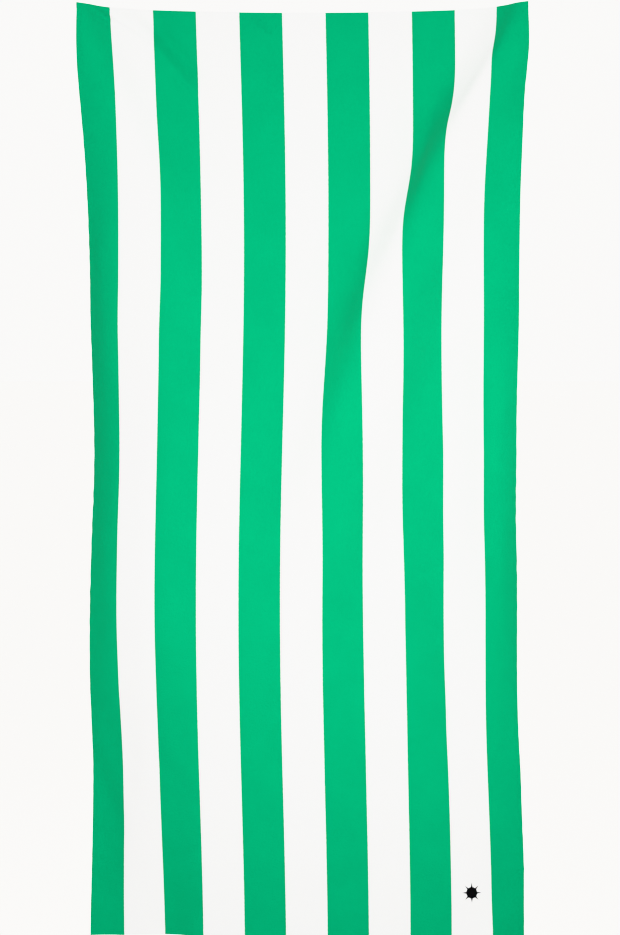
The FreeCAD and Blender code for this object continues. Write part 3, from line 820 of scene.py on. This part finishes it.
def satin_material():
    """Satin ribbon: a close warp that shines, with patches of painted sheen in its colour and a matt woven
    border.
    """
    material, tree, shader = new_material("label_satin")
    place = flat_place(tree, "tape")
    flat = split(tree, place)
    half = LABEL_WIDTH / 2
    border = ramp(tree, maths(tree, "ABSOLUTE", flat["X"]), half - BORDER_START, half - BORDER_FULL)
    # painted sheen: random patches where the satin's colour is brighter
    satin = mixed(tree, blotches(tree, place, per_metre=120.0), SATIN_WITHOUT_SHEEN, SATIN_PAINTED_SHEEN)
    connect(tree, shader, {
        "Base Color": mixed(tree, border, satin, SATIN_BORDER),
        "Roughness": maths(tree, "MULTIPLY_ADD", border, BORDER_ROUGHER, SATIN_ROUGHNESS),
        "Normal": bumps(tree, ribs(tree, flat["X"], SATIN_WARP), SATIN_DEPTH, strength=0.6),
    })
    return material


def print_material():
    """Matt transfer ink, through which the knit shows a little."""
    material, tree, shader = new_material("black_print")
    place = flat_place(tree, "cloth")
    connect(tree, shader, {
        "Base Color": mixed(tree, blotches(tree, place, per_metre=1200.0), INK_DARK, INK_LIGHT),
        "Roughness": 0.75,
        "Normal": bumps(tree, knit(tree, place), NAP_DEPTH, strength=0.5),
        "Specular IOR Level": 0.15,
    })
    return material


# The studio


BACKDROP = 1.85  # how bright the camera sees the backdrop
AMBIENT = 1.01  # how bright it is as a light
BACKDROP_COLOUR = (1.0, 0.993, 0.98, 1)
FLOOR_BELOW, FLOOR_HALF = 0.35, 40.0
FLOOR_COLOUR, FLOOR_GLOW = (0.8, 0.795, 0.785, 1), (1.0, 0.99, 0.975, 1)
LENS, CAMERA_PLACE, CAMERA_DIP = 77.0, (0.0134, -3.4, -0.5229), 4.38  # in millimetres, metres and degrees


def camera_only(tree, strength):
    """A strength that only the camera sees."""
    seen = add_node(tree, "ShaderNodeLightPath").outputs["Is Camera Ray"]
    return maths(tree, "MULTIPLY", seen, strength)


def pale_floor():
    """A plain floor below the towel, which the camera sees about as bright as the backdrop."""
    half, height = FLOOR_HALF, cad_box[0].z - FLOOR_BELOW
    corners = [(-half, -half, height), (half, -half, height), (half, half, height), (-half, half, height)]
    material, tree, shader = new_material("pale_floor")
    lit = AMBIENT * FLOOR_COLOUR[0]  # how bright the backdrop's light makes it
    connect(tree, shader, {
        "Base Color": FLOOR_COLOUR,
        "Roughness": 0.9,
        "Specular IOR Level": 0.1,
        "Emission Color": FLOOR_GLOW,
        "Emission Strength": camera_only(tree, BACKDROP - lit),
    })
    floor = new_piece("floor", corners, [(0, 1, 2, 3)], material)


def backdrop():
    """A bright world, brighter still to the camera."""
    world = bpy.data.worlds.new("studio")
    bpy.context.scene.world = world
    world.use_nodes = True
    tree = world.node_tree
    strength = maths(tree, "ADD", camera_only(tree, BACKDROP - AMBIENT), AMBIENT)
    connect(tree, tree.nodes["Background"], {"Color": BACKDROP_COLOUR, "Strength": strength})


def soft_light(name, place, aim, size, power):
    """A round lamp that the camera doesn't see."""
    light = bpy.data.lights.new(name, "AREA")
    light.shape = "DISK"
    light.size = size
    light.energy = power
    lamp = bpy.data.objects.new(name, light)
    lamp.location = place
    lamp.rotation_euler = (Vector(aim) - Vector(place)).to_track_quat("-Z", "Y").to_euler()
    lamp.visible_camera = False
    bpy.context.scene.collection.objects.link(lamp)


def camera():
    """At the photograph's angle: level with the towel's upper half, looking a little down."""
    lens = bpy.data.cameras.new("camera")
    lens.lens = LENS
    view = bpy.data.objects.new("camera", lens)
    view.location = CAMERA_PLACE
    view.rotation_euler = (math.radians(90 - CAMERA_DIP), 0.0, 0.0)
    bpy.context.scene.collection.objects.link(view)
    bpy.context.scene.camera = view


cloth = towel_cloth()
hems = [hem(edge) for edge in EDGES]
threads = [hem_stitching(edge) for edge in EDGES]
emblem = corner_emblem()
hanging_loop()
loop_bar_tack()
care_label()
label_stitching()
pale_floor()
backdrop()
soft_light("key", place=(0.10, -0.89, -0.69), aim=(0.0, 0.0, -0.6), size=1.62, power=18.5)
soft_light("back", place=(-1.3, 1.9, 0.2), aim=(0.0, 0.0, -0.7), size=1.2, power=18.0)
bpy.context.scene.view_settings.view_transform = "Khronos PBR Neutral"
camera()
